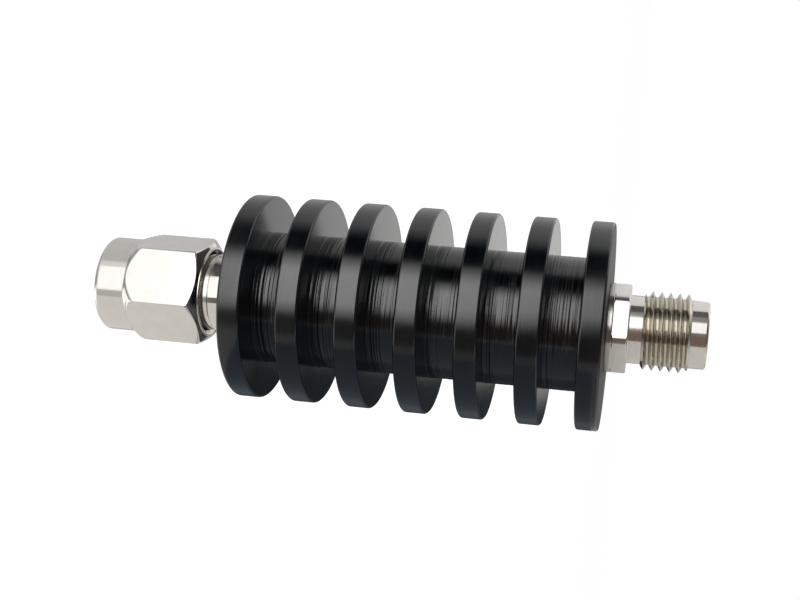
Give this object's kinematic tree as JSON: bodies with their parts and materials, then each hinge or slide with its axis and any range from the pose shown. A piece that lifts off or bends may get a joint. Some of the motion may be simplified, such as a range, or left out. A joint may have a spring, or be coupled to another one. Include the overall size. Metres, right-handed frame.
{
  "type": "coaxial attenuator",
  "caption": "Fixed coaxial attenuator with a black finned heat sink, a threaded plug with a captive spinning hex nut at one end and a threaded jack at the other.",
  "frame": {"origin": "centre of the coupling nut's front face, on the axis", "axes": "+Z along the axis from the plug to the jack; the part stands on the nut's front face"},
  "size_m": [0.0168, 0.0168, 0.0497],
  "materials": {
    "black_anodised": "satin black anodised, turned",
    "nickel_plate": "polished nickel plate",
    "spring_bronze": "drawn spring bronze",
    "silicone": "matt silicone rubber",
    "white_dielectric": "waxy white fluoropolymer",
    "gold_plate": "gold plate",
    "carrier_brass": "machined brass",
    "alumina": "fine unglazed ceramic",
    "resistor_ink": "fired resistor film"
  },
  "bodies": {
    "attenuator": {"heat_sink": "black_anodised", "plug_body": "nickel_plate", "snap_ring": "spring_bronze", "plug_gasket": "silicone", "plug_insulator": "white_dielectric", "plug_pin": "gold_plate", "jack_body": "nickel_plate", "jack_insulator": "white_dielectric", "jack_contact": "gold_plate", "carrier_front": "carrier_brass", "carrier_back": "carrier_brass", "chip_substrate": "alumina", "resistor_film": "resistor_ink", "chip_electrodes": "gold_plate", "input_tab": "gold_plate", "output_tab": "gold_plate"},
    "nut": {"coupling_nut": "nickel_plate"}
  },
  "joints": [
    {"name": "nut_spin", "type": "hinge", "parent": "attenuator", "child": "nut", "pos_m": [0, 0, 0.0046], "axis": [0, 0, 1], "continuous": true}
  ]
}
